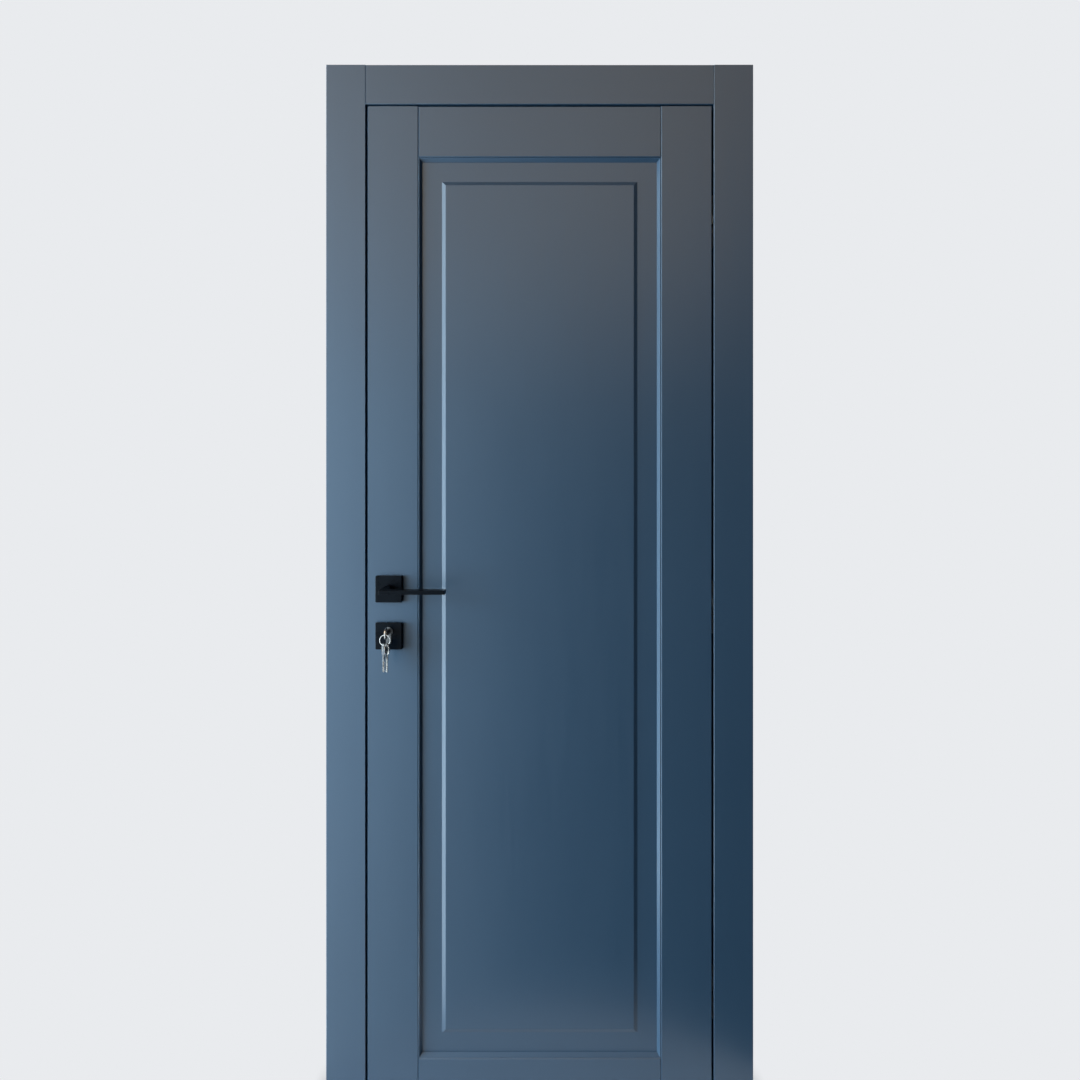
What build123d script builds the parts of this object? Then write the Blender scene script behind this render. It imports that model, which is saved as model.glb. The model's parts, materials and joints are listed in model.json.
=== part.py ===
import os
from math import atan2, cos, degrees, hypot, radians, sin, sqrt

from build123d import *

os.makedirs("parts", exist_ok=True)

# Leaf: X runs along its width, Y into the wall from its front face, Z up from the floor
leaf_width = 700
leaf_height = 2040
leaf_thickness = 54
floor_gap = 5
edge_gap = 4.5
leaf_arris = 1

# Stiles, rails and the panel held in their grooves
stile_width = 103
rail_height = 103
joint_flank = 1.4
tongue_reach = 8
tongue_thickness = 14
tongue_clearance = 0.2
margin_depth = 8
panel_clearance = 0.3
field_margin = 47
field_bevel = 8
field_height = 2.6

# Mouldings round the panel
moulding_flank = 1.6
moulding_top_depth = 0.4
moulding_width = 7.2
moulding_edge = 0.4

# Frame with a rebate and a stop behind the leaf
frame_face = 80
frame_depth = 96
stop_reach = 12
seal_gap = 3
frame_arris = 0.8
seal_width = 8
seal_tail_width = 3.6
seal_tail_depth = 5
seal_clearance = 0.3
anchor_radius = 5.5
anchor_end_inset = 500

# Concealed hinges, measured from the middle of the hinge gap and the leaf's front face
hinge_end_inset = 230
swing_axis_forward = 1.5
pivot_offset = 8
pivot_depth = 13
hinge_swing = 100
knee_offset = 12.5
knee_depth = 21
elbow_offset = -3.5
elbow_depth = 39
end_offset = -22
end_depth = 42
arm_width = 7
eye_radius = 4.5
pin_radius = 2.5
pin_clearance = 0.06
crossing_clearance = 0.3
layer_height = 18
layer_clearance = 0.4
cup_front = 8
cup_back = 47
cup_depth = 27
cup_wall = 2
cup_deck = 4
cup_plate = 3
cup_plate_width = 45
cup_plate_height = 110
cup_plate_corner = 8
cup_screw_spacing = 86
recess_clearance = 0.2

# Lock, measured from the leaf's lock edge
backset = 45
spindle_height = 1064
lock_centre_distance = 85
case_thickness = 16
case_depth = 68
case_above = 50
case_below = 52
case_wall = 1.5
faceplate_thickness = 3
faceplate_width = 24
faceplate_reach = 22
faceplate_screw_inset = 10
bolt_thickness = 12
bolt_clearance = 0.3
latch_height = 22
latch_length = 26
latch_bevel = 9
deadbolt_height = 30
deadbolt_length = 27
deadbolt_travel = 20
deadbolt_arris = 1
strike_clearance = 2

# Countersunk screws
screw_radius = 2.2
screw_head_radius = 4.2
screw_head_depth = 2.4
screw_length = 24
screw_clearance = 0.1
drive_radius = 1.6
drive_depth = 1.2

# Lever handles with square rosettes
rosette_size = 54
rosette_thickness = 10
rosette_edge = 1.6
rosette_corner = 2
spindle_size = 8
spindle_clearance = 0.1
neck_radius = 9
neck_clearance = 0.08
neck_straight = 9
neck_length = 27
grip_height = 8.5
grip_depth = 22
grip_reach = 120
grip_edge = 1
follower_radius = 11
follower_journal = 8
follower_nose_reach = 20
follower_nose_width = 8
follower_clearance = 0.4
spindle_hole_radius = 10

# Profile cylinder with its key
escutcheon_drop = 95
cylinder_radius = 8.5
cylinder_web = 10
cylinder_height = 33
cylinder_proud = 1.5
cylinder_clearance = 0.3
plug_radius = 6.5
plug_clearance = 0.08
cam_width = 10
cam_reach = 14
cam_thickness = 7
cam_clearance = 0.3
key_slot_width = 2.4
key_slot_height = 9
blade_thickness = 2
blade_height = 8.4
blade_length = 24
blade_notch = 2
blade_notch_count = 5
shoulder_height = 11
bow_radius = 11.5
bow_hole_radius = 2.6
bow_hole_inset = 4
key_shoulder = 9
key_gap = 0.5
fixing_screw_rise = 4.5

# Key ring with its spare keys
ring_radius = 11
ring_wire = 0.8
ring_edge = 0.4
ring_play = 0.3
spare_key_spread = 3.2
spare_key_play = 0.6
spare_key_turns = (30, 40)

# Places worked out from the sizes above
half_leaf = leaf_width / 2
leaf_bottom = floor_gap
leaf_top = floor_gap + leaf_height
leaf_middle = leaf_thickness / 2
leaf_half_height = (leaf_bottom + leaf_top) / 2
hinge_heights = (leaf_bottom + hinge_end_inset, leaf_half_height, leaf_top - hinge_end_inset)
anchor_heights = (leaf_bottom + anchor_end_inset, leaf_top - anchor_end_inset)
half_opening = half_leaf + edge_gap
frame_edge = half_opening + frame_face
frame_height = leaf_top + edge_gap + frame_face
stop_edge = half_leaf - stop_reach
stop_front = leaf_thickness + seal_gap
panel_half = half_leaf - stile_width
panel_bottom = leaf_bottom + rail_height
panel_top = leaf_top - rail_height
panel_middle = (panel_bottom + panel_top) / 2
panel_height = panel_top - panel_bottom
lock_edge = -half_leaf
spindle_x = lock_edge + backset
key_height = spindle_height - lock_centre_distance
case_top = spindle_height + case_above
case_bottom = key_height - case_below
case_front = lock_edge + faceplate_thickness
faceplate_top = case_top + faceplate_reach
faceplate_bottom = case_bottom - faceplate_reach
faceplate_screws = (faceplate_bottom + faceplate_screw_inset, faceplate_top - faceplate_screw_inset)
escutcheon_height = spindle_height - escutcheon_drop
hinge_centre = edge_gap / 2
cross_depth = 2 * pivot_depth + swing_axis_forward
arm_throw = cross_depth - pivot_depth
cup_centre = (cup_front + cup_back) / 2
hinge_line = half_leaf + hinge_centre
arm_pivot = (pivot_offset, pivot_depth)
arm_knee = (knee_offset, knee_depth)
arm_cross = (0, cross_depth)
arm_elbow = (elbow_offset, elbow_depth)
arm_end = (end_offset, end_depth)


# Pieces are drawn from the leaf's front face, and kept with the origin under the middle of its thickness
def keep(piece, label):
    piece.part = piece.part.moved(Location((0, -leaf_middle, 0)))
    piece.part.label = label
    export_step(piece.part, f"parts/{label}.step")


# A plane that looks into a vertical edge: local X runs along Y and local Y along the edge
def edge_plane(x, inward, y, height):
    return Plane(origin=(x, y, height), x_dir=(0, 1, 0), z_dir=(inward, 0, 0))


# A plane on the leaf's front or back face that looks out of the leaf, with local Y up
def face_plane(front, x, height):
    place = 0 if front else leaf_thickness
    across = 1 if front else -1
    return Plane(origin=(x, place, height), x_dir=(across, 0, 0), z_dir=(0, -across, 0))


# Countersunk screws, or with a clearance the holes that take them
def screw_group(planes, clearance=0, length=screw_length):
    with BuildPart() as group:
        for plane in planes:
            with BuildSketch(plane):
                Circle(screw_head_radius + clearance)
            with BuildSketch(plane.offset(screw_head_depth)):
                Circle(screw_radius + clearance)
            loft()
            with BuildSketch(plane.offset(screw_head_depth)):
                Circle(screw_radius + clearance)
            extrude(amount=length - screw_head_depth + clearance)
            if not clearance:
                with BuildSketch(plane):
                    RegularPolygon(drive_radius, 6)
                extrude(amount=drive_depth, mode=Mode.SUBTRACT)
    return group


# Concealed hinges: the leaf's cups and arms are the jamb's ones turned half round about Y
def hinge_cup_face(jamb, height):
    x = half_opening if jamb else half_leaf
    return edge_plane(x, 1 if jamb else -1, cup_centre, height)


def hinge_level(jamb, height):
    side = 1 if jamb else -1
    return Plane(origin=(hinge_line, 0, height), x_dir=(side, 0, 0), z_dir=(0, 0, side))


def cup_screw_planes(jamb):
    places = []
    for height in hinge_heights:
        for side in (-1, 1):
            places.append(hinge_cup_face(jamb, height + side * cup_screw_spacing / 2))
    return places


def cup_recesses(jamb):
    box_width = cup_back - cup_front + 2 * (cup_wall + recess_clearance)
    box_height = 2 * (layer_height + cup_deck + recess_clearance)
    plate_width = cup_plate_width + 2 * recess_clearance
    plate_height = cup_plate_height + 2 * recess_clearance
    with BuildPart() as recesses:
        for height in hinge_heights:
            face = hinge_cup_face(jamb, height)
            with BuildSketch(face):
                RectangleRounded(plate_width, plate_height, cup_plate_corner)
            extrude(amount=cup_plate)
            with BuildSketch(face):
                Rectangle(box_width, box_height)
            extrude(amount=cup_depth + cup_wall + recess_clearance)
    return recesses.part


def hinge_cup(jamb, height):
    face = hinge_cup_face(jamb, height)
    level = hinge_level(jamb, height)
    inner_width = cup_back - cup_front
    # the other side's arm runs its end pin along this arc as the leaf swings
    slot_centre = (pivot_offset - end_offset, end_depth - arm_throw)
    slot_start = degrees(atan2(arm_throw, -pivot_offset))
    slot_path = CenterArc(slot_centre, hypot(pivot_offset, arm_throw), slot_start, hinge_swing)
    with BuildPart() as cup:
        with BuildSketch(face):
            RectangleRounded(cup_plate_width, cup_plate_height, cup_plate_corner)
        extrude(amount=cup_plate)
        with BuildSketch(face):
            Rectangle(inner_width + 2 * cup_wall, 2 * (layer_height + cup_deck))
        extrude(amount=cup_depth + cup_wall)
        with BuildSketch(face):
            Rectangle(inner_width, 2 * layer_height)
        extrude(amount=cup_depth, mode=Mode.SUBTRACT)
        with BuildSketch(level.offset(layer_clearance)):
            with Locations(arm_pivot):
                Circle(pin_radius)
        extrude(amount=layer_height - layer_clearance)
        with BuildSketch(level.offset(-layer_height - cup_deck)):
            SlotArc(slot_path, 2 * (pin_radius + crossing_clearance))
        extrude(amount=cup_deck, mode=Mode.SUBTRACT)
        add(cup_screw_holes[jamb], mode=Mode.SUBTRACT)
    return cup


def hinge_arm(jamb, height):
    level = hinge_level(jamb, height)
    bends = (arm_pivot, arm_knee, arm_cross, arm_elbow, arm_end)
    links = [Line(start, end) for start, end in zip(bends[:-1], bends[1:])]
    with BuildPart() as arm:
        with BuildSketch(level.offset(layer_clearance)):
            for link in links:
                SlotArc(link, arm_width)
            with Locations(arm_pivot, arm_cross, arm_end):
                Circle(eye_radius)
            with Locations(arm_pivot):
                Circle(pin_radius + pin_clearance, mode=Mode.SUBTRACT)
            if not jamb:
                with Locations(arm_cross):
                    Circle(pin_radius + crossing_clearance, mode=Mode.SUBTRACT)
        extrude(amount=layer_height - 2 * layer_clearance)
        with BuildSketch(level.offset(layer_height - layer_clearance)):
            with Locations(arm_end):
                Circle(pin_radius)
        extrude(amount=cup_deck)
        if jamb:
            with BuildSketch(level.offset(layer_clearance)):
                with Locations(arm_cross):
                    Circle(pin_radius)
            extrude(amount=-layer_height)
    return arm


cup_screw_holes = {}
for jamb in (True, False):
    cup_screw_holes[jamb] = screw_group(cup_screw_planes(jamb), screw_clearance).part

hinge_names = ("bottom", "middle", "top")
for name, height in zip(hinge_names, hinge_heights):
    keep(hinge_cup(True, height), f"jamb_hinge_cup_{name}")
    keep(hinge_cup(False, height), f"leaf_hinge_cup_{name}")
    keep(hinge_arm(True, height), f"jamb_hinge_arm_{name}")
    keep(hinge_arm(False, height), f"leaf_hinge_arm_{name}")
keep(screw_group(cup_screw_planes(True)), "jamb_hinge_screws")
keep(screw_group(cup_screw_planes(False)), "leaf_hinge_screws")

# Frame: two rebated legs at full height and a head between them
faceplate_middle = (faceplate_top + faceplate_bottom) / 2
faceplate_length = faceplate_top - faceplate_bottom
bolt_openings = ((spindle_height, latch_height), (key_height, deadbolt_height))
strike_face = edge_plane(-half_opening, -1, leaf_middle, 0)
strike_screw_planes = [edge_plane(-half_opening, -1, leaf_middle, height) for height in faceplate_screws]

with BuildPart() as strike_recess:
    with BuildSketch(strike_face):
        with Locations((0, -faceplate_middle)):
            Rectangle(faceplate_width, faceplate_length)
    extrude(amount=faceplate_thickness)
    with BuildSketch(strike_face):
        for height, opening in bolt_openings:
            with Locations((0, -height)):
                Rectangle(bolt_thickness + 2 * strike_clearance, opening + 2 * strike_clearance)
    extrude(amount=deadbolt_travel)
    add(screw_group(strike_screw_planes, screw_clearance).part)

with BuildPart() as jamb_recess:
    add(cup_recesses(True))
    add(cup_screw_holes[True])


def frame_leg(side, recess):
    with BuildPart() as leg:
        with BuildSketch(Plane.XY):
            with BuildLine():
                Polyline(
                    (side * half_opening, 0),
                    (side * frame_edge, 0),
                    (side * frame_edge, frame_depth),
                    (side * stop_edge, frame_depth),
                    (side * stop_edge, stop_front),
                    (side * half_opening, stop_front),
                    close=True,
                )
            make_face()
        extrude(amount=frame_height)
        chamfer(edges().filter_by(Axis.Z).group_by(Axis.Y)[0], frame_arris)
        with BuildSketch(Plane.XY):
            with Locations((side * seal_line, stop_front + seal_tail_depth / 2)):
                Rectangle(seal_tail_width + 2 * recess_clearance, seal_tail_depth)
        extrude(amount=leaf_top, mode=Mode.SUBTRACT)
        for height in anchor_heights:
            with BuildSketch(edge_plane(side * half_opening, side, leaf_middle, height)):
                Circle(anchor_radius)
            extrude(amount=frame_face, mode=Mode.SUBTRACT)
        add(recess.part, mode=Mode.SUBTRACT)
    return leg


seal_line = stop_edge + stop_reach / 2
keep(frame_leg(-1, strike_recess), "frame_leg_left")
keep(frame_leg(1, jamb_recess), "frame_leg_right")

with BuildPart() as frame_head:
    with BuildSketch(Plane.YZ):
        with Locations((stop_front / 2, (leaf_top + edge_gap + frame_height) / 2)):
            Rectangle(stop_front, frame_face)
    extrude(amount=half_opening, both=True)
    with BuildSketch(Plane.YZ):
        with Locations(((stop_front + frame_depth) / 2, (leaf_top - stop_reach + frame_height) / 2)):
            Rectangle(frame_depth - stop_front, frame_height - leaf_top + stop_reach)
    extrude(amount=stop_edge, both=True)
    chamfer(edges().group_by(Axis.Y)[0], frame_arris)
    with BuildSketch(Plane.YZ):
        with Locations((stop_front + seal_tail_depth / 2, leaf_top - stop_reach / 2)):
            Rectangle(seal_tail_depth, seal_tail_width + 2 * recess_clearance)
    extrude(amount=stop_edge, both=True, mode=Mode.SUBTRACT)
keep(frame_head, "frame_head")

seal_lip = seal_gap - seal_clearance
seal_top = leaf_top - stop_reach / 2 - seal_width / 2 - seal_clearance
with BuildPart() as frame_seals:
    with BuildSketch(Plane.XY):
        for side in (-1, 1):
            with Locations((side * seal_line, stop_front - seal_lip / 2)):
                Rectangle(seal_width, seal_lip)
            with Locations((side * seal_line, stop_front + seal_tail_depth / 2)):
                Rectangle(seal_tail_width, seal_tail_depth)
    extrude(amount=seal_top)
    with BuildSketch(Plane.YZ):
        with Locations((stop_front - seal_lip / 2, leaf_top - stop_reach / 2)):
            Rectangle(seal_lip, seal_width)
        with Locations((stop_front + seal_tail_depth / 2, leaf_top - stop_reach / 2)):
            Rectangle(seal_tail_depth, seal_tail_width)
    extrude(amount=stop_edge, both=True)
keep(frame_seals, "frame_seals")

with BuildPart() as strike_plate:
    with BuildSketch(strike_face):
        with Locations((0, -faceplate_middle)):
            Rectangle(faceplate_width, faceplate_length)
        for height, opening in bolt_openings:
            with Locations((0, -height)):
                Rectangle(
                    bolt_thickness + 2 * strike_clearance,
                    opening + 2 * strike_clearance,
                    mode=Mode.SUBTRACT,
                )
    extrude(amount=faceplate_thickness)
    add(screw_group(strike_screw_planes, screw_clearance).part, mode=Mode.SUBTRACT)
keep(strike_plate, "strike_plate")
keep(screw_group(strike_screw_planes), "strike_screws")

# Leaf: stiles at full height, rails between them, and a panel in their grooves
groove_depth = tongue_reach + tongue_clearance
groove_width = tongue_thickness + 2 * tongue_clearance
case_middle = (case_top + case_bottom) / 2
case_length = case_top - case_bottom
lock_face = edge_plane(lock_edge, 1, leaf_middle, 0)
faceplate_screw_planes = [edge_plane(lock_edge, 1, leaf_middle, height) for height in faceplate_screws]


def cylinder_section(plane, clearance, length):
    web_height = cylinder_height - cylinder_radius
    with BuildPart() as section:
        with BuildSketch(plane):
            Circle(cylinder_radius + clearance)
            with Locations((0, -(web_height + clearance) / 2)):
                Rectangle(cylinder_web + 2 * clearance, web_height + clearance)
        extrude(amount=length)
    return section.part


key_axis_front = face_plane(True, spindle_x, key_height)
fixing_height = key_height - cylinder_height + cylinder_radius + fixing_screw_rise
fixing_plane = edge_plane(lock_edge, 1, leaf_middle, fixing_height)
fixing_length = backset + cylinder_web / 2
fixing_hole = screw_group([fixing_plane], screw_clearance, fixing_length).part
cylinder_length = leaf_thickness + 2 * (rosette_thickness + cylinder_proud)
cylinder_plane = key_axis_front.offset(rosette_thickness + cylinder_proud)
cylinder_hole = cylinder_section(cylinder_plane, cylinder_clearance, -cylinder_length)

with BuildPart() as lock_recess:
    with BuildSketch(lock_face):
        with Locations((0, faceplate_middle)):
            Rectangle(faceplate_width + 2 * recess_clearance, faceplate_length + 2 * recess_clearance)
    extrude(amount=faceplate_thickness)
    with BuildSketch(lock_face):
        with Locations((0, case_middle)):
            Rectangle(case_thickness + 2 * recess_clearance, case_length + 2 * recess_clearance)
    extrude(amount=faceplate_thickness + case_depth + recess_clearance)
    with BuildSketch(face_plane(True, spindle_x, spindle_height)):
        Circle(spindle_hole_radius)
    extrude(amount=-leaf_thickness)
    add(cylinder_hole)
    add(screw_group(faceplate_screw_planes, screw_clearance).part)

with BuildPart() as leaf_hinge_recess:
    add(cup_recesses(False))
    add(cup_screw_holes[False])


def stile(side, recess):
    with BuildPart() as timber:
        with BuildSketch(Plane.XY.offset(leaf_bottom)):
            with Locations((side * (half_leaf + panel_half) / 2, leaf_middle)):
                Rectangle(stile_width, leaf_thickness)
        extrude(amount=leaf_height)
        upright = edges().filter_by(Axis.Z).sort_by(Axis.X)
        chamfer(upright[:2], joint_flank if side > 0 else leaf_arris)
        upright = edges().filter_by(Axis.Z).sort_by(Axis.X)
        chamfer(upright[-2:], leaf_arris if side > 0 else joint_flank)
        with BuildSketch(Plane.XY.offset(leaf_bottom)):
            with Locations((side * (panel_half + groove_depth / 2), leaf_middle)):
                Rectangle(groove_depth, groove_width)
        extrude(amount=leaf_height, mode=Mode.SUBTRACT)
        add(recess.part, mode=Mode.SUBTRACT)
    return timber


keep(stile(-1, lock_recess), "lock_stile")
keep(stile(1, leaf_hinge_recess), "hinge_stile")


def rail(inner, outward):
    tenon_height = rail_height - groove_depth
    with BuildPart() as timber:
        with BuildSketch(Plane.YZ):
            with Locations((leaf_middle, inner + outward * rail_height / 2)):
                Rectangle(leaf_thickness, rail_height)
            with Locations((leaf_middle, inner + outward * groove_depth / 2)):
                Rectangle(groove_width, groove_depth, mode=Mode.SUBTRACT)
        extrude(amount=panel_half, both=True)
        broad_faces = faces().filter_by(Axis.Y).sort_by(Axis.Y)
        chamfer(broad_faces[0].edges() + broad_faces[-1].edges(), joint_flank)
        with BuildSketch(Plane.YZ):
            with Locations((leaf_middle, inner + outward * (groove_depth + tenon_height / 2))):
                Rectangle(tongue_thickness, tenon_height)
        extrude(amount=panel_half + tongue_reach, both=True)
    return timber


keep(rail(panel_top, 1), "top_rail")
keep(rail(panel_bottom, -1), "bottom_rail")

with BuildPart() as panel:
    middle_plane = Plane(origin=(0, leaf_middle, panel_middle), x_dir=(1, 0, 0), z_dir=(0, -1, 0))
    with BuildSketch(middle_plane):
        Rectangle(2 * (panel_half - panel_clearance), panel_height - 2 * panel_clearance)
    extrude(amount=leaf_middle - margin_depth, both=True)
    with BuildSketch(middle_plane):
        Rectangle(2 * (panel_half + tongue_reach), panel_height + 2 * tongue_reach)
    extrude(amount=tongue_thickness / 2, both=True)
    for front in (True, False):
        foot = face_plane(front, 0, panel_middle).offset(-margin_depth)
        with BuildSketch(foot):
            Rectangle(2 * (panel_half - field_margin), panel_height - 2 * field_margin)
        with BuildSketch(foot.offset(field_height)):
            Rectangle(
                2 * (panel_half - field_margin - field_bevel),
                panel_height - 2 * (field_margin + field_bevel),
            )
        loft()
keep(panel, "raised_panel")


# Mouldings: a small flank, a wide bevel and mitred ends
def moulding(front, inward, half_length, origin_x, origin_z):
    face = 0 if front else leaf_thickness
    into_leaf = Vector(0, 1 if front else -1, 0)
    inward_dir = Vector(*inward)
    section = Plane(origin=(origin_x, face, origin_z), x_dir=inward_dir, z_dir=inward_dir.cross(into_leaf))
    outline = Plane(origin=(origin_x, face, origin_z), x_dir=inward_dir, z_dir=into_leaf)
    with BuildPart() as strip:
        with BuildSketch(section):
            with BuildLine():
                Polyline(
                    (0, joint_flank),
                    (moulding_flank, moulding_top_depth),
                    (moulding_width, margin_depth - moulding_edge),
                    (moulding_width, margin_depth),
                    (0, margin_depth),
                    close=True,
                )
            make_face()
        extrude(amount=half_length, both=True)
        with BuildSketch(outline):
            with BuildLine():
                Polyline(
                    (0, -half_length),
                    (moulding_width, moulding_width - half_length),
                    (moulding_width, half_length - moulding_width),
                    (0, half_length),
                    close=True,
                )
            make_face()
        extrude(amount=margin_depth, mode=Mode.INTERSECT)
    return strip


moulding_places = {
    "left": ((1, 0, 0), panel_height / 2, -panel_half, panel_middle),
    "right": ((-1, 0, 0), panel_height / 2, panel_half, panel_middle),
    "top": ((0, 0, -1), panel_half, 0, panel_top),
    "bottom": ((0, 0, 1), panel_half, 0, panel_bottom),
}
for name, (inward, half_length, origin_x, origin_z) in moulding_places.items():
    keep(moulding(True, inward, half_length, origin_x, origin_z), f"front_moulding_{name}")
    keep(moulding(False, inward, half_length, origin_x, origin_z), f"back_moulding_{name}")

# Mortise lock: an open-fronted case behind a faceplate
case_inside = case_thickness - 2 * case_wall
with BuildPart() as lock_case:
    with BuildSketch(edge_plane(case_front, 1, leaf_middle, case_middle)):
        Rectangle(case_thickness, case_length)
    extrude(amount=case_depth)
    with BuildSketch(edge_plane(case_front, 1, leaf_middle, case_middle)):
        Rectangle(case_inside, case_length - 2 * case_wall)
    extrude(amount=case_depth - case_wall, mode=Mode.SUBTRACT)
    with BuildSketch(face_plane(True, spindle_x, spindle_height)):
        Circle(follower_journal + plug_clearance)
    extrude(amount=-leaf_thickness, mode=Mode.SUBTRACT)
    add(cylinder_hole, mode=Mode.SUBTRACT)
keep(lock_case, "lock_case")

with BuildPart() as lock_faceplate:
    with BuildSketch(lock_face):
        with Locations((0, faceplate_middle)):
            Rectangle(faceplate_width, faceplate_length)
        for height, opening in bolt_openings:
            with Locations((0, height)):
                Rectangle(
                    bolt_thickness + 2 * bolt_clearance,
                    opening + 2 * bolt_clearance,
                    mode=Mode.SUBTRACT,
                )
    extrude(amount=faceplate_thickness)
    add(screw_group(faceplate_screw_planes, screw_clearance).part, mode=Mode.SUBTRACT)
    add(fixing_hole, mode=Mode.SUBTRACT)
keep(lock_faceplate, "lock_faceplate")
keep(screw_group(faceplate_screw_planes), "faceplate_screws")

with BuildPart() as latch_bolt:
    with BuildSketch(edge_plane(lock_edge, 1, leaf_middle, spindle_height)):
        Rectangle(bolt_thickness, latch_height)
    extrude(amount=latch_length)
    nose = edges().filter_by(Axis.Z).group_by(Axis.X)[0].sort_by(Axis.Y)[-1]
    chamfer(nose, latch_bevel)
keep(latch_bolt, "latch_bolt")

with BuildPart() as deadbolt:
    with BuildSketch(edge_plane(lock_edge, 1, leaf_middle, key_height)):
        Rectangle(bolt_thickness, deadbolt_height)
    extrude(amount=deadbolt_length)
    chamfer(faces().sort_by(Axis.X)[0].edges(), deadbolt_arris)
keep(deadbolt, "deadbolt")

# Follower and square spindle, turned by the levers
with BuildPart() as follower:
    hub_width = case_inside - 2 * follower_clearance
    middle_plane = Plane(origin=(spindle_x, leaf_middle, spindle_height), x_dir=(1, 0, 0), z_dir=(0, -1, 0))
    with BuildSketch(middle_plane):
        Circle(follower_radius)
        with Locations((0, follower_nose_reach / 2)):
            Rectangle(follower_nose_width, follower_nose_reach)
    extrude(amount=hub_width / 2, both=True)
    with BuildSketch(middle_plane):
        Circle(follower_journal)
    extrude(amount=case_thickness / 2, both=True)
    with BuildSketch(middle_plane):
        Rectangle(spindle_size + 2 * spindle_clearance, spindle_size + 2 * spindle_clearance)
    extrude(amount=case_thickness, both=True, mode=Mode.SUBTRACT)
keep(follower, "lock_follower")

spindle_half = leaf_middle + rosette_thickness
with BuildPart() as spindle:
    with BuildSketch(middle_plane):
        Rectangle(spindle_size, spindle_size)
    extrude(amount=spindle_half, both=True)
keep(spindle, "spindle")


# Rosettes and escutcheons: soft-edged square plates
def square_plate(front, height, hole):
    with BuildPart() as plate:
        with BuildSketch(face_plane(front, spindle_x, height)):
            RectangleRounded(rosette_size, rosette_size, rosette_corner)
        extrude(amount=rosette_thickness)
        outer_face = faces().sort_by(Axis.Y)[0 if front else -1]
        fillet(outer_face.edges(), rosette_edge)
        add(hole, mode=Mode.SUBTRACT)
    return plate


with BuildPart() as neck_hole:
    with BuildSketch(middle_plane):
        Circle(neck_radius + neck_clearance)
    extrude(amount=spindle_half, both=True)

for name, front in (("front", True), ("back", False)):
    keep(square_plate(front, spindle_height, neck_hole.part), f"{name}_rosette")
    keep(square_plate(front, escutcheon_height, cylinder_hole), f"{name}_escutcheon")


# Levers: a round neck with two flats tapering to the thickness of a straight bar
def lever(front):
    face = face_plane(front, spindle_x, spindle_height)
    toward_tip = 1 if front else -1
    root = face.offset(rosette_thickness)
    grip = root.offset(neck_length)
    grip_centre = toward_tip * (grip_reach - neck_radius) / 2
    flats = Plane(origin=root.origin, x_dir=root.z_dir, z_dir=root.x_dir)
    with BuildPart() as handle:
        with BuildSketch(root):
            Circle(neck_radius)
        extrude(amount=neck_length)
        with BuildSketch(flats):
            with BuildLine():
                Polyline(
                    (0, -neck_radius),
                    (neck_straight, -neck_radius),
                    (neck_length, -grip_height / 2),
                    (neck_length, grip_height / 2),
                    (neck_straight, neck_radius),
                    (0, neck_radius),
                    close=True,
                )
            make_face()
        extrude(amount=neck_radius, both=True, mode=Mode.INTERSECT)
        with BuildSketch(grip):
            with Locations((grip_centre, 0)):
                Rectangle(grip_reach + neck_radius, grip_height)
        extrude(amount=grip_depth)
        fillet(faces().sort_by(Axis.Y)[0 if front else -1].edges(), grip_edge)
        with BuildSketch(root):
            Circle(neck_radius)
        extrude(amount=-rosette_thickness)
        with BuildSketch(face):
            Rectangle(spindle_size + 2 * spindle_clearance, spindle_size + 2 * spindle_clearance)
        extrude(amount=rosette_thickness, mode=Mode.SUBTRACT)
    return handle


keep(lever(True), "front_lever")
keep(lever(False), "back_lever")

# Profile cylinder: a housing bored for two plugs, with a gap for the cam
key_middle = Plane(origin=(spindle_x, leaf_middle, key_height), x_dir=(1, 0, 0), z_dir=(0, -1, 0))
cam_gap_depth = hypot(cam_reach, cam_thickness / 2) + cam_clearance
with BuildPart() as cylinder_housing:
    add(cylinder_section(cylinder_plane, 0, -cylinder_length))
    with BuildSketch(cylinder_plane):
        Circle(plug_radius + plug_clearance)
    extrude(amount=-cylinder_length, mode=Mode.SUBTRACT)
    with BuildSketch(key_middle):
        with Locations((0, (cylinder_radius - cam_gap_depth) / 2)):
            Rectangle(2 * cylinder_radius, cylinder_radius + cam_gap_depth)
    extrude(amount=cam_width / 2, both=True, mode=Mode.SUBTRACT)
    add(fixing_hole, mode=Mode.SUBTRACT)
keep(cylinder_housing, "cylinder_housing")
keep(screw_group([fixing_plane], 0, fixing_length), "cylinder_fixing_screw")

plug_length = leaf_middle + rosette_thickness + cylinder_proud - cam_width / 2


def plug(front):
    outer = face_plane(front, spindle_x, key_height).offset(rosette_thickness + cylinder_proud)
    with BuildPart() as core:
        with BuildSketch(outer):
            Circle(plug_radius)
            Rectangle(key_slot_width, key_slot_height, mode=Mode.SUBTRACT)
        extrude(amount=-plug_length)
    return core


keep(plug(True), "front_plug")
keep(plug(False), "back_plug")

with BuildPart() as cam:
    with BuildSketch(key_middle):
        Circle(plug_radius)
        with Locations((0, cam_reach / 2)):
            Rectangle(cam_thickness, cam_reach)
    extrude(amount=cam_width / 2 - cam_clearance, both=True)
keep(cam, "cylinder_cam")


# Keys: a round bow with a hole, a shoulder and a notched blade, drawn from the hole towards the tip
bow_centre = bow_radius - bow_hole_inset
shoulder_end = bow_centre + bow_radius + key_shoulder
notch_pitch = blade_length / (blade_notch_count + 1)


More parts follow.
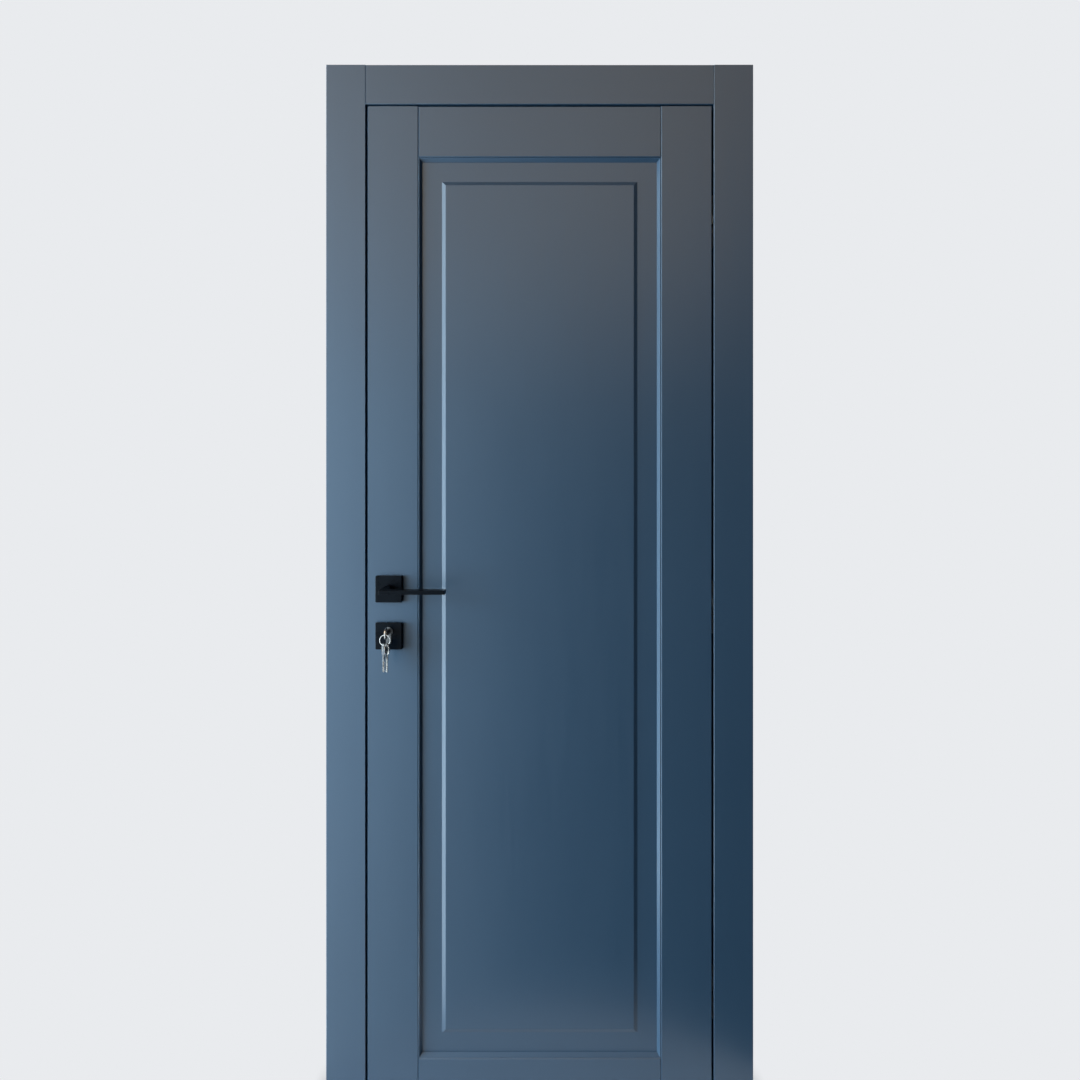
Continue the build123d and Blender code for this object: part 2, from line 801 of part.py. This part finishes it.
def flat_key(plane):
    with BuildPart() as blank:
        with BuildSketch(plane):
            with Locations((bow_centre, 0)):
                Circle(bow_radius)
            with Locations(((bow_centre + shoulder_end) / 2, 0)):
                Rectangle(shoulder_end - bow_centre, shoulder_height)
            with Locations((shoulder_end + blade_length / 2, 0)):
                Rectangle(blade_length, blade_height)
            Circle(bow_hole_radius, mode=Mode.SUBTRACT)
            for step in range(blade_notch_count):
                with Locations((shoulder_end + (step + 1) * notch_pitch, -blade_height / 2)):
                    Rectangle(blade_notch, blade_notch, rotation=45, mode=Mode.SUBTRACT)
        extrude(amount=blade_thickness / 2, both=True)
    return blank


bow_hole_y = -(rosette_thickness + cylinder_proud + key_gap + shoulder_end)
inserted_plane = Plane(origin=(spindle_x, bow_hole_y, key_height), x_dir=(0, 1, 0), z_dir=(1, 0, 0))
keep(flat_key(inserted_plane), "inserted_key")

# The ring hangs in the bow's hole, and the spare keys hang on the ring
ring_line = ring_radius - ring_wire
ring_top = key_height - (bow_hole_radius - ring_wire - ring_play)
ring_middle = ring_top - ring_line
ring_axis = Axis((spindle_x, bow_hole_y, ring_middle), (0, 1, 0))
with BuildPart() as split_ring:
    with BuildSketch(Plane(origin=(spindle_x, bow_hole_y, ring_middle))):
        with Locations((ring_line, 0)):
            Rectangle(2 * ring_wire, 2 * ring_wire)
        chamfer(vertices(), ring_edge)
    revolve(axis=ring_axis)
keep(split_ring, "split_ring")

spare_height = ring_middle - sqrt(ring_line**2 - spare_key_spread**2) - spare_key_play
for name, side, turn in zip(("spare_key_left", "spare_key_right"), (-1, 1), spare_key_turns):
    hole = (spindle_x + side * spare_key_spread, bow_hole_y, spare_height)
    spare_plane = Plane(origin=hole, x_dir=(0, 0, -1), z_dir=(cos(radians(turn)), sin(radians(turn)), 0))
    keep(flat_key(spare_plane), name)
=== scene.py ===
import json
import math

import bpy
from mathutils import Matrix, Vector


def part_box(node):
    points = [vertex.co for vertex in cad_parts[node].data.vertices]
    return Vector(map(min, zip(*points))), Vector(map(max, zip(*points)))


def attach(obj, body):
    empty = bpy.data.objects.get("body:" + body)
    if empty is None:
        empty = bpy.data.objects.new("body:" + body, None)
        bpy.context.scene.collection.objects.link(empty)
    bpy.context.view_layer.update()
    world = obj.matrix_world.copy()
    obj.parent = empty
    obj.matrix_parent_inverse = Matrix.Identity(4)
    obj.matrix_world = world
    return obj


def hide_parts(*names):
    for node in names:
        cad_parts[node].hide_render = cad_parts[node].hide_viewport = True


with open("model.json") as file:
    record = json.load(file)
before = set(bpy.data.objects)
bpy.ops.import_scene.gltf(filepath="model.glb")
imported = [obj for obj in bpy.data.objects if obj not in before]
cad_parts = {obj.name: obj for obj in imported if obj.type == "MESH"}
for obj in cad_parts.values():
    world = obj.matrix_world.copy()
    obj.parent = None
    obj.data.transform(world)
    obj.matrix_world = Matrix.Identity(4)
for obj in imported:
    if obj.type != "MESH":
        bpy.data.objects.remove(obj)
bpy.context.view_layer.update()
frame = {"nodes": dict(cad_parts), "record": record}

nodes = frame["nodes"]

# All lengths are in metres and all colours in linear light

# Camera, square on to the leaf and a little above the lever
camera_distance = 1.3
camera_height = 1.243
camera_lens = 21.305
camera_sensor = 36
camera_shift_x = 0.0003
camera_shift_y = -0.0365

# Satin lacquer: cloudy colour, brush strokes along the timber and a fine orange peel
slate_blue = (0.036, 0.082, 0.140, 1)
slate_blue_light = (0.042, 0.090, 0.150, 1)
lacquer_roughness = (0.37, 0.43)
lacquer_cloud_scale = 2.3
upright_strokes = (260, 260, 6)
level_strokes = (6, 260, 260)
stroke_strength = 0.04
stroke_depth = 0.0004
peel_scale = 520
peel_strength = 0.05
peel_depth = 0.0003
clear_coat_weight = 0.35
clear_coat_roughness = 0.24

# Powder coat: cloudy black with a fine grain
coat_black = (0.0012, 0.0032, 0.0062, 1)
coat_black_light = (0.0022, 0.0048, 0.0086, 1)
coat_roughness = (0.26, 0.34)
coat_cloud_scale = 60
coat_grain_scale = 1400
coat_grain_strength = 0.12
coat_grain_depth = 0.0002
coat_specular_level = 0.09

# Seal rubber
rubber_black = (0.012, 0.012, 0.013, 1)
rubber_black_light = (0.024, 0.024, 0.025, 1)
rubber_roughness = (0.62, 0.75)
rubber_grain_scale = 700
rubber_grain_strength = 0.1
rubber_grain_depth = 0.0002

# Bare metals
metal_brush_depth = 0.0001

# Noise: the part of its range that is spread over a finish, and how fine it is
noise_low = 0.3
noise_high = 0.7
soft_detail = 2
grain_detail = 3
stroke_detail = 4
brush_detail = 5

# Keys: grooved blades, a shallow dish in each bow and soft edges
key_thickness = 0.002
key_bow_radius = 0.0115
key_dish_radius = 0.0042
key_dish_depth = 0.0003
key_dish_sides = 48
key_groove_length = 0.030
key_groove_width = 0.0016
key_groove_offset = 0.0012
key_groove_depth = 0.0004
key_soft_edge = 0.0002
spare_key_turns = {"left": 30, "right": 40}

# Split ring: two turns of flat wire
ring_turns = 2
ring_steps = 80
ring_pitch = 0.0005
ring_wire_height = 0.0013
ring_wire_width = 0.00046
ring_wire_round = 0.00014
ring_round_steps = 3

# Socket screws in the lever necks and the hinge cups
grub_radius = 0.0019
grub_proud = 0.0003
grub_inset = 0.0045
adjuster_radius = 0.0032
adjuster_proud = 0.0004
adjuster_rise = 0.0305
screw_sides = 32
socket_rim_share = 0.42
socket_depth = 0.0012
screw_soft_edge = 0.0001
end_face_slope = 0.9

# Meshes: edges sharper than the soft angle are rounded, faces within the flat angle are merged
soft_angle = math.radians(35)
soft_edge_steps = 2
flat_angle = math.radians(1)
merge_distance = 0.000005

# Backdrop and floor
backdrop_grey = (0.815, 0.831, 0.855, 1)
ambient_blue = (0.55, 0.70, 0.85, 1)
ambient_strength = 0.05
floor_radius = 0.75
floor_sides = 96
floor_back = 0.45
floor_roughness = 0.9
# How far the painted contact shadow on the floor reaches from the door
painted_shadow_reach = 0.05

# The studio in front of the door, as its sheen shows it
room_radius = 5
room_rim = 0.8
room_segments = 48
room_rings = 24
room_dark = (0.015, 0.025, 0.045, 1)
room_pale = (1.3, 1.45, 1.55, 1)
room_bright = (6.4, 7.5, 8.0, 1)
room_aside = (2.8, 3.3, 3.5, 1)
room_warm = (1.9, 1.45, 0.98, 1)
room_lofty = (0.12, 0.07, 0.05, 1)

# Each light or dark part of the studio, laid over the ones before it.
# Along its axis it fades in from start to full, which are shares of the radius.
room_parts = (
    {"axis": "X", "start": 0.02, "full": -0.40, "colour": room_pale},
    {"axis": "Z", "start": 0.14, "full": 0.50, "colour": room_warm},
    {"axis": "Z", "start": 0.70, "full": 0.88, "colour": room_lofty},
    {"axis": "X", "start": -0.44, "full": -0.62, "colour": room_bright},
    {"axis": "X", "start": -0.74, "full": -0.86, "colour": room_aside},
    {"axis": "X", "start": 0.24, "full": 0.54, "colour": room_dark},
)

# Lamps
window_blue = (0.66, 0.87, 1.0)
fill_white = (0.95, 0.97, 1.0)
door_middle = (0, 0, 1.0)


# Node helpers
def start_material(name):
    material = bpy.data.materials.new(name)
    material.use_nodes = True
    tree = material.node_tree
    return material, tree, tree.nodes["Principled BSDF"]


def add_node(tree, kind, **values):
    node = tree.nodes.new(kind)
    for key, value in values.items():
        if key in node.inputs:
            node.inputs[key].default_value = value
        else:
            setattr(node, key, value)
    return node


def noise_on(tree, detail, scale=1, stretch=(1, 1, 1)):
    place = add_node(tree, "ShaderNodeTexCoord")
    mapping = add_node(tree, "ShaderNodeMapping", Scale=stretch)
    noise = add_node(tree, "ShaderNodeTexNoise", Scale=scale, Detail=detail)
    tree.links.new(place.outputs["Object"], mapping.inputs["Vector"])
    tree.links.new(mapping.outputs["Vector"], noise.inputs["Vector"])
    return noise.outputs["Fac"]


def colour_between(tree, factor, dark, light):
    ramp = add_node(tree, "ShaderNodeValToRGB")
    first, last = ramp.color_ramp.elements
    first.position = noise_low
    first.color = dark
    last.position = noise_high
    last.color = light
    tree.links.new(factor, ramp.inputs["Fac"])
    return ramp.outputs["Color"]


def value_between(tree, factor, ends):
    spread = add_node(tree, "ShaderNodeMapRange")
    spread.inputs["From Min"].default_value = noise_low
    spread.inputs["From Max"].default_value = noise_high
    spread.inputs["To Min"].default_value, spread.inputs["To Max"].default_value = ends
    tree.links.new(factor, spread.inputs["Value"])
    return spread.outputs["Result"]


def bump_from(tree, height, strength, depth, under=None):
    bump = add_node(tree, "ShaderNodeBump", Strength=strength, Distance=depth)
    tree.links.new(height, bump.inputs["Height"])
    if under:
        tree.links.new(under, bump.inputs["Normal"])
    return bump.outputs["Normal"]


# Satin slate-blue lacquer on the timbers
def satin_lacquer(name, stretch):
    material, tree, shader = start_material(name)
    cloud = noise_on(tree, soft_detail, lacquer_cloud_scale)
    strokes = noise_on(tree, stroke_detail, stretch=stretch)
    peel = noise_on(tree, soft_detail, peel_scale)
    colour = colour_between(tree, cloud, slate_blue, slate_blue_light)
    laid_off = bump_from(tree, strokes, stroke_strength, stroke_depth)
    surface = bump_from(tree, peel, peel_strength, peel_depth, laid_off)
    tree.links.new(colour, shader.inputs["Base Color"])
    tree.links.new(value_between(tree, strokes, lacquer_roughness), shader.inputs["Roughness"])
    tree.links.new(surface, shader.inputs["Normal"])
    shader.inputs["Coat Weight"].default_value = clear_coat_weight
    shader.inputs["Coat Roughness"].default_value = clear_coat_roughness
    return material


# Black powder coat on the levers and plates
def powder_coat(name):
    material, tree, shader = start_material(name)
    grain = noise_on(tree, soft_detail, coat_grain_scale)
    cloud = noise_on(tree, soft_detail, coat_cloud_scale)
    colour = colour_between(tree, cloud, coat_black, coat_black_light)
    surface = bump_from(tree, grain, coat_grain_strength, coat_grain_depth)
    tree.links.new(colour, shader.inputs["Base Color"])
    tree.links.new(value_between(tree, cloud, coat_roughness), shader.inputs["Roughness"])
    tree.links.new(surface, shader.inputs["Normal"])
    shader.inputs["Specular IOR Level"].default_value = coat_specular_level
    return material


# Bare metals, brushed or polished along one direction
def bare_metal(name, dark, light, stretch, roughness, brush_strength):
    material, tree, shader = start_material(name)
    brush = noise_on(tree, brush_detail, stretch=stretch)
    colour = colour_between(tree, brush, dark, light)
    surface = bump_from(tree, brush, brush_strength, metal_brush_depth)
    tree.links.new(colour, shader.inputs["Base Color"])
    tree.links.new(value_between(tree, brush, roughness), shader.inputs["Roughness"])
    tree.links.new(surface, shader.inputs["Normal"])
    shader.inputs["Metallic"].default_value = 1
    return material


# Matt black rubber of the seals
def soft_rubber(name):
    material, tree, shader = start_material(name)
    grain = noise_on(tree, grain_detail, rubber_grain_scale)
    colour = colour_between(tree, grain, rubber_black, rubber_black_light)
    surface = bump_from(tree, grain, rubber_grain_strength, rubber_grain_depth)
    tree.links.new(colour, shader.inputs["Base Color"])
    tree.links.new(value_between(tree, grain, rubber_roughness), shader.inputs["Roughness"])
    tree.links.new(surface, shader.inputs["Normal"])
    return material


upright_lacquer = satin_lacquer("slate_lacquer_upright", upright_strokes)
level_lacquer = satin_lacquer("slate_lacquer_level", level_strokes)
slot_finishes = {
    "black_metal": powder_coat("black_powder_coat"),
    "lock_steel": bare_metal(
        "brushed_lock_steel",
        dark=(0.50, 0.50, 0.50, 1),
        light=(0.62, 0.62, 0.61, 1),
        stretch=(900, 900, 30),
        roughness=(0.3, 0.42),
        brush_strength=0.1,
    ),
    "key_steel": bare_metal(
        "bright_key_nickel",
        dark=(0.56, 0.56, 0.55, 1),
        light=(0.68, 0.67, 0.66, 1),
        stretch=(500, 500, 80),
        roughness=(0.2, 0.3),
        brush_strength=0.05,
    ),
    # The cylinder's metal is kept far darker than satin nickel, so its front reads near black
    "cylinder_metal": bare_metal(
        "cylinder_nickel_darkened",
        dark=(0.10, 0.105, 0.11, 1),
        light=(0.15, 0.155, 0.16, 1),
        stretch=(60, 900, 900),
        roughness=(0.3, 0.4),
        brush_strength=0.06,
    ),
    "hinge_metal": bare_metal(
        "satin_hinge_alloy",
        dark=(0.46, 0.47, 0.48, 1),
        light=(0.58, 0.59, 0.60, 1),
        stretch=(700, 700, 40),
        roughness=(0.34, 0.46),
        brush_strength=0.08,
    ),
    "seal_rubber": soft_rubber("black_seal_rubber"),
}


def set_finish(piece, material):
    piece.data.materials.clear()
    piece.data.materials.append(material)


# Timbers wider than they are high are brushed level, the others upright
for subpart in frame["record"]["subparts"]:
    node_name = subpart["node"]
    low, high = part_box(node_name)
    level = high.x - low.x > high.z - low.z
    paint = level_lacquer if level else upright_lacquer
    set_finish(nodes[node_name], slot_finishes.get(subpart["material_slot"], paint))


# Modelling helpers
def pick(piece):
    bpy.ops.object.select_all(action="DESELECT")
    piece.select_set(True)
    bpy.context.view_layer.objects.active = piece


def apply_modifier(piece, kind, **values):
    pick(piece)
    bpy.ops.object.modifier_add(type=kind)
    modifier = piece.modifiers[-1]
    for key, value in values.items():
        setattr(modifier, key, value)
    bpy.ops.object.modifier_apply(modifier=modifier.name)


def soften_edges(piece, width):
    apply_modifier(
        piece, "BEVEL",
        width=width, segments=soft_edge_steps, limit_method="ANGLE", angle_limit=soft_angle,
    )
    pick(piece)
    bpy.ops.object.shade_smooth_by_angle(angle=soft_angle)


def finish_piece(piece, body, slot):
    set_finish(piece, slot_finishes[slot])
    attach(piece, body)


# A copy of a CAD node, merged into whole faces
def whole_copy(node_name, name):
    piece = bpy.data.objects.new(name, nodes[node_name].data.copy())
    bpy.context.scene.collection.objects.link(piece)
    pick(piece)
    bpy.ops.mesh.customdata_custom_splitnormals_clear()
    bpy.ops.object.mode_set(mode="EDIT")
    bpy.ops.mesh.select_all(action="SELECT")
    bpy.ops.mesh.remove_doubles(threshold=merge_distance)
    bpy.ops.mesh.dissolve_limited(angle_limit=flat_angle)
    bpy.ops.object.mode_set(mode="OBJECT")
    return piece


def cut_away(piece, cutter):
    apply_modifier(piece, "BOOLEAN", object=cutter, operation="DIFFERENCE", solver="EXACT")
    bpy.data.objects.remove(cutter)


# A groove and a dish on each flat of a key, one cutter at a time
def key_cutters(along, flat, tip, bow):
    across = flat.cross(along)
    turn = Matrix((along, across, flat)).transposed().to_4x4()
    for side in (-1, 1):
        face = flat * side * key_thickness / 2
        bpy.ops.mesh.primitive_cube_add(size=1)
        groove = bpy.context.object
        groove.scale = (key_groove_length, key_groove_width, 2 * key_groove_depth)
        bpy.ops.object.transform_apply(location=False, rotation=False, scale=True)
        middle = tip - along * key_groove_length / 2 + across * side * key_groove_offset
        groove.matrix_world = Matrix.Translation(middle + face) @ turn
        yield groove
        bpy.ops.mesh.primitive_cylinder_add(
            vertices=key_dish_sides, radius=key_dish_radius, depth=2 * key_dish_depth)
        dish = bpy.context.object
        dish.matrix_world = Matrix.Translation(bow + face) @ turn
        yield dish


# A key's blade points along one direction, and its flats face the other
def cut_key(node_name, body, along, flat):
    low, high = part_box(node_name)
    middle = (low + high) / 2
    half_length = abs((high - low).dot(along)) / 2
    tip = middle + along * half_length
    bow = middle - along * (half_length - key_bow_radius)
    key = whole_copy(node_name, f"{node_name}_cut")
    for cutter in key_cutters(along, flat, tip, bow):
        cut_away(key, cutter)
    soften_edges(key, key_soft_edge)
    finish_piece(key, body, "key_steel")
    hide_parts(node_name)


cut_key("inserted_key", "key_set", Vector((0, 1, 0)), Vector((1, 0, 0)))
for side_name, turn_deg in spare_key_turns.items():
    turn = math.radians(turn_deg)
    flat_way = Vector((math.cos(turn), math.sin(turn), 0))
    cut_key(f"spare_key_{side_name}", "key_ring", Vector((0, 0, -1)), flat_way)


# Split ring: the wire's rounded section run round twice, with closed ends
def wound_ring():
    low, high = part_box("split_ring")
    wire_line = (high.x - low.x - ring_wire_height) / 2
    bpy.ops.mesh.primitive_plane_add(size=1)
    ring = bpy.context.object
    ring.name = "split_ring_wound"
    bpy.ops.object.mode_set(mode="EDIT")
    bpy.ops.mesh.select_all(action="SELECT")
    bpy.ops.transform.resize(value=(ring_wire_height, ring_wire_width, 1))
    bpy.ops.mesh.bevel(offset=ring_wire_round, segments=ring_round_steps, affect="VERTICES")
    bpy.ops.mesh.select_all(action="SELECT")
    bpy.ops.transform.translate(value=(wire_line, -ring_pitch, 0))
    bpy.ops.mesh.delete(type="ONLY_FACE")
    bpy.ops.object.mode_set(mode="OBJECT")
    apply_modifier(
        ring, "SCREW",
        axis="Y", angle=2 * math.pi, iterations=ring_turns, screw_offset=ring_pitch,
        steps=ring_steps, render_steps=ring_steps,
    )
    bpy.ops.object.mode_set(mode="EDIT")
    bpy.ops.mesh.select_all(action="SELECT")
    bpy.ops.mesh.fill_holes(sides=0)
    bpy.ops.mesh.select_all(action="SELECT")
    bpy.ops.mesh.normals_make_consistent(inside=False)
    bpy.ops.transform.translate(value=(low + high) / 2)
    bpy.ops.object.mode_set(mode="OBJECT")
    bpy.ops.object.shade_smooth_by_angle(angle=soft_angle)
    finish_piece(ring, "key_ring", "key_steel")
    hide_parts("split_ring")


wound_ring()


# Socket screws: a short round head with a hole in its end
def socket_screw(place, outward, radius, proud):
    bpy.ops.mesh.primitive_cylinder_add(vertices=screw_sides, radius=radius, depth=2 * proud)
    screw = bpy.context.object
    bpy.ops.object.mode_set(mode="EDIT")
    bpy.ops.mesh.select_mode(type="FACE")
    bpy.ops.mesh.select_all(action="DESELECT")
    bpy.ops.object.mode_set(mode="OBJECT")
    for face in screw.data.polygons:
        face.select = face.normal.z > end_face_slope
    bpy.ops.object.mode_set(mode="EDIT")
    bpy.ops.mesh.inset(thickness=radius * socket_rim_share, depth=0)
    bpy.ops.mesh.extrude_region_move(TRANSFORM_OT_translate={"value": (0, 0, -socket_depth)})
    bpy.ops.object.mode_set(mode="OBJECT")
    soften_edges(screw, screw_soft_edge)
    screw.rotation_euler = outward.to_track_quat("Z", "Y").to_euler()
    screw.location = place
    pick(screw)
    bpy.ops.object.transform_apply(location=True, rotation=True, scale=True)
    return screw


def join_screws(screws, name):
    bpy.ops.object.select_all(action="DESELECT")
    for screw in screws:
        screw.select_set(True)
    bpy.context.view_layer.objects.active = screws[0]
    bpy.ops.object.join()
    screws[0].name = name
    return screws[0]


# A grub screw under each lever's neck
for side_name, outward_y in (("front", -1), ("back", 1)):
    rosette_low, rosette_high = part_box(f"{side_name}_rosette")
    lever_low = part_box(f"{side_name}_lever")[0]
    plate_face = rosette_low.y if outward_y < 0 else rosette_high.y
    spindle_x = (rosette_low.x + rosette_high.x) / 2
    grub_place = Vector((spindle_x, plate_face + outward_y * grub_inset, lever_low.z))
    grub = socket_screw(grub_place, Vector((0, 0, -1)), grub_radius, grub_proud)
    grub.name = f"{side_name}_lever_grub_screw"
    finish_piece(grub, "handle_set", "lock_steel")

# Two adjusting screws in the face of each hinge cup
for owner, body, outward_x in (("jamb", "frame", -1), ("leaf", "leaf", 1)):
    outward = Vector((outward_x, 0, 0))
    adjusters = []
    for level_name in ("bottom", "middle", "top"):
        cup_low, cup_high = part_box(f"{owner}_hinge_cup_{level_name}")
        cup_middle = (cup_low + cup_high) / 2
        cup_face = cup_low.x if outward_x < 0 else cup_high.x
        for rise in (-adjuster_rise, adjuster_rise):
            place = Vector((cup_face, cup_middle.y, cup_middle.z + rise))
            adjusters.append(socket_screw(place, outward, adjuster_radius, adjuster_proud))
    finish_piece(join_screws(adjusters, f"{owner}_hinge_adjusters"), body, "lock_steel")


# Stage: seen straight, in gloss or through glass, the floor and the world are the pale backdrop
def background_seen(tree):
    light_path = add_node(tree, "ShaderNodeLightPath")
    camera_or_gloss = add_node(tree, "ShaderNodeMath", operation="MAXIMUM")
    seen = add_node(tree, "ShaderNodeMath", operation="MAXIMUM")
    tree.links.new(light_path.outputs["Is Camera Ray"], camera_or_gloss.inputs[0])
    tree.links.new(light_path.outputs["Is Glossy Ray"], camera_or_gloss.inputs[1])
    tree.links.new(camera_or_gloss.outputs[0], seen.inputs[0])
    tree.links.new(light_path.outputs["Is Transmission Ray"], seen.inputs[1])
    return seen.outputs[0]


def mix_shaders(tree, factor, first, second, output):
    mix = add_node(tree, "ShaderNodeMixShader")
    tree.links.new(factor, mix.inputs[0])
    tree.links.new(first.outputs[0], mix.inputs[1])
    tree.links.new(second.outputs[0], mix.inputs[2])
    tree.links.new(mix.outputs[0], tree.nodes[output].inputs["Surface"])


# Floor disc; near the door's foot a painted contact shadow darkens the glow it shows when seen
# straight or in gloss
def stage_floor():
    bpy.ops.mesh.primitive_circle_add(
        vertices=floor_sides, radius=floor_radius, fill_type="NGON", location=(0, floor_back, 0))
    floor = bpy.context.object
    floor.name = "floor"
    material, tree, shader = start_material("pale_floor")
    shader.inputs["Base Color"].default_value = backdrop_grey
    shader.inputs["Roughness"].default_value = floor_roughness
    # Occlusion darkens the floor's glowing backdrop colour near the door: a painted contact
    # shadow
    painted_contact_shadow = add_node(
        tree, "ShaderNodeAmbientOcclusion", Color=backdrop_grey, Distance=painted_shadow_reach)
    glow = add_node(tree, "ShaderNodeEmission", Strength=1)
    tree.links.new(painted_contact_shadow.outputs["Color"], glow.inputs["Color"])
    mix_shaders(tree, background_seen(tree), shader, glow, "Material Output")
    floor.data.materials.append(material)


def stage_world():
    world = bpy.data.worlds.new("studio")
    bpy.context.scene.world = world
    world.use_nodes = True
    tree = world.node_tree
    ambient = tree.nodes["Background"]
    ambient.inputs["Color"].default_value = ambient_blue
    ambient.inputs["Strength"].default_value = ambient_strength
    backdrop = add_node(tree, "ShaderNodeBackground", Color=backdrop_grey, Strength=1)
    mix_shaders(tree, background_seen(tree), ambient, backdrop, "World Output")


# Front of the studio, seen only in the sheen: pale on the left, dark on the right, warm above
def stage_room():
    bpy.ops.mesh.primitive_uv_sphere_add(
        segments=room_segments, ring_count=room_rings, radius=room_radius,
        location=(0, 0, camera_height))
    room = bpy.context.object
    room.name = "studio_room"
    bpy.ops.object.mode_set(mode="EDIT")
    bpy.ops.mesh.select_all(action="SELECT")
    bpy.ops.mesh.bisect(plane_co=(0, room_rim, 0), plane_no=(0, 1, 0), clear_outer=True)
    bpy.ops.object.mode_set(mode="OBJECT")
    material, tree, shader = start_material("studio_room_light")
    tree.nodes.remove(shader)
    place = add_node(tree, "ShaderNodeTexCoord")
    split = add_node(tree, "ShaderNodeSeparateXYZ")
    tree.links.new(place.outputs["Object"], split.inputs[0])
    shade = None
    for part in room_parts:
        fade = add_node(tree, "ShaderNodeMapRange", interpolation_type="SMOOTHSTEP")
        fade.inputs["From Min"].default_value = part["start"] * room_radius
        fade.inputs["From Max"].default_value = part["full"] * room_radius
        tree.links.new(split.outputs[part["axis"]], fade.inputs["Value"])
        mix = add_node(tree, "ShaderNodeMixRGB", Color1=room_dark, Color2=part["colour"])
        tree.links.new(fade.outputs["Result"], mix.inputs["Fac"])
        if shade:
            tree.links.new(shade, mix.inputs["Color1"])
        shade = mix.outputs["Color"]
    glow = add_node(tree, "ShaderNodeEmission", Strength=1)
    tree.links.new(shade, glow.inputs["Color"])
    tree.links.new(glow.outputs[0], tree.nodes["Material Output"].inputs["Surface"])
    room.data.materials.append(material)
    room.visible_camera = False
    room.visible_diffuse = False
    room.visible_shadow = False
    room.visible_transmission = False


# Area lamps that show neither to the camera nor in the sheen
def soft_lamp(name, place, target, width, height, power, colour):
    data = bpy.data.lights.new(name, "AREA")
    data.shape = "RECTANGLE"
    data.size = width
    data.size_y = height
    data.energy = power
    data.color = colour
    lamp = bpy.data.objects.new(name, data)
    bpy.context.scene.collection.objects.link(lamp)
    lamp.location = place
    aim = Vector(target) - Vector(place)
    lamp.rotation_euler = aim.to_track_quat("-Z", "Y").to_euler()
    lamp.visible_camera = False
    lamp.visible_glossy = False


def stage_camera():
    data = bpy.data.cameras.new("camera")
    data.sensor_width = camera_sensor
    data.lens = camera_lens
    data.shift_x = camera_shift_x
    data.shift_y = camera_shift_y
    camera = bpy.data.objects.new("camera", data)
    bpy.context.scene.collection.objects.link(camera)
    camera.location = (0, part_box("lock_stile")[0].y - camera_distance, camera_height)
    camera.rotation_euler = (math.radians(90), 0, 0)
    bpy.context.scene.camera = camera


stage_floor()
stage_world()
stage_room()
soft_lamp(
    "left_window", place=(-2.6, -1.05, 0.95), target=(0, -1.05, -0.45),
    width=2.6, height=2.1, power=200, colour=window_blue)
soft_lamp(
    "back_fill", place=(-1.8, 2.6, 1.6), target=door_middle,
    width=2.6, height=2.6, power=70, colour=fill_white)
soft_lamp(
    "right_fill", place=(2.6, 1.5, 1.2), target=door_middle,
    width=2.0, height=2.2, power=60, colour=fill_white)
stage_camera()
bpy.context.scene.view_settings.view_transform = "Standard"
